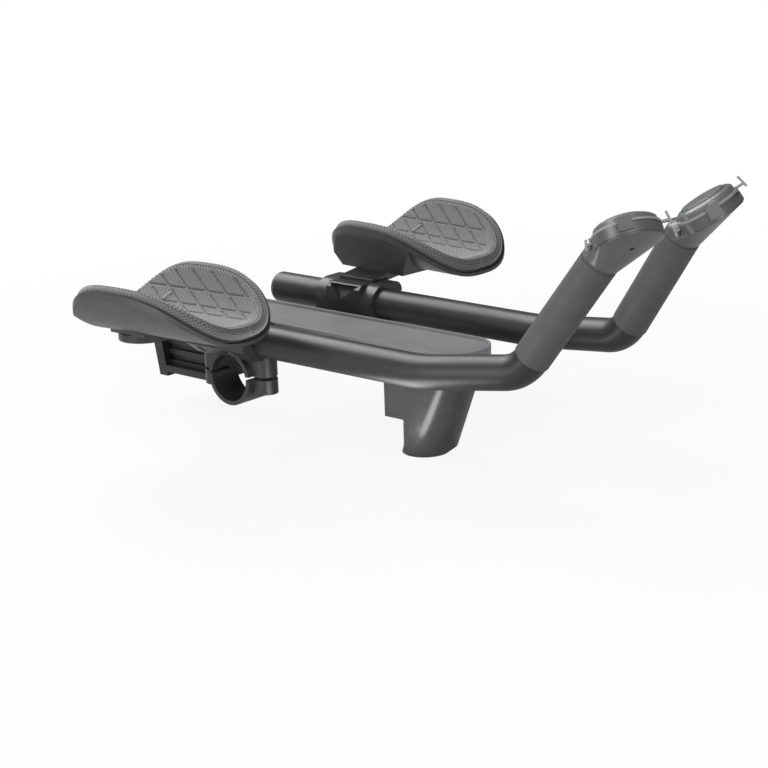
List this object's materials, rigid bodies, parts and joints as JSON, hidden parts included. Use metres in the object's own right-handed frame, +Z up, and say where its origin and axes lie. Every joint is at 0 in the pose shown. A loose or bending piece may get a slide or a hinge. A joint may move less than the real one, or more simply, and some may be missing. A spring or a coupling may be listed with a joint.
{
  "type": "clip-on aerobar",
  "caption": "Clip-on aerobar: two bent extension tubes on handlebar clamps, cupped padded armrests, a centre tray and a push-button puck on each tip.",
  "frame": {"origin": "on the handlebar's axis, half way between the two clamps", "axes": "+X forward in the riding direction, +Y left along the handlebar, +Z up"},
  "size_m": [0.4631, 0.3484, 0.1947],
  "materials": {
    "tube": "satin",
    "grip": "matte",
    "plug": "satin",
    "bracket": "satin black",
    "plate": "satin black",
    "cup": "satin",
    "pad": "knitted, quilted",
    "pod": "satin",
    "puck": "satin",
    "cell": "bright",
    "board": "matte",
    "button": "matte",
    "strap": "matte",
    "tray": "satin",
    "housing": "semi-gloss",
    "screws": "black oxide"
  },
  "bodies": {
    "frame": {"left_extension_tube": "tube", "right_extension_tube": "tube", "left_grip_sleeve": "grip", "right_grip_sleeve": "grip", "left_end_plug": "plug", "right_end_plug": "plug", "left_tube_bracket": "bracket", "right_tube_bracket": "bracket", "left_lower_clamp": "bracket", "right_lower_clamp": "bracket", "left_armrest_plate": "plate", "right_armrest_plate": "plate", "left_armrest_cup": "cup", "right_armrest_cup": "cup", "left_armrest_pad": "pad", "right_armrest_pad": "pad", "left_pod_base": "pod", "right_pod_base": "pod", "left_puck_shell": "puck", "right_puck_shell": "puck", "left_coin_cell": "cell", "right_coin_cell": "cell", "left_puck_board": "board", "right_puck_board": "board", "left_retaining_strap": "strap", "right_retaining_strap": "strap", "tray": "tray", "nose_housing": "housing", "rear_block": "housing", "clamp_bolts": "screws", "pinch_bolts": "screws", "plate_screws": "screws", "armrest_bolts": "screws", "pod_grub_screws": "screws", "tray_screws": "screws", "block_screws": "screws"},
    "left_button": {"left_puck_button": "button"},
    "right_button": {"right_puck_button": "button"}
  },
  "joints": [
    {"name": "left_press", "type": "slide", "parent": "frame", "child": "left_button", "axis": [0.462, 0.2504, -0.8508], "range_m": [0, 0.0008], "stiffness_N_per_m": 1500, "springref_m": -0.0008},
    {"name": "right_press", "type": "slide", "parent": "frame", "child": "right_button", "axis": [0.462, -0.2504, -0.8508], "range_m": [0, 0.0008], "stiffness_N_per_m": 1500, "springref_m": -0.0008}
  ]
}
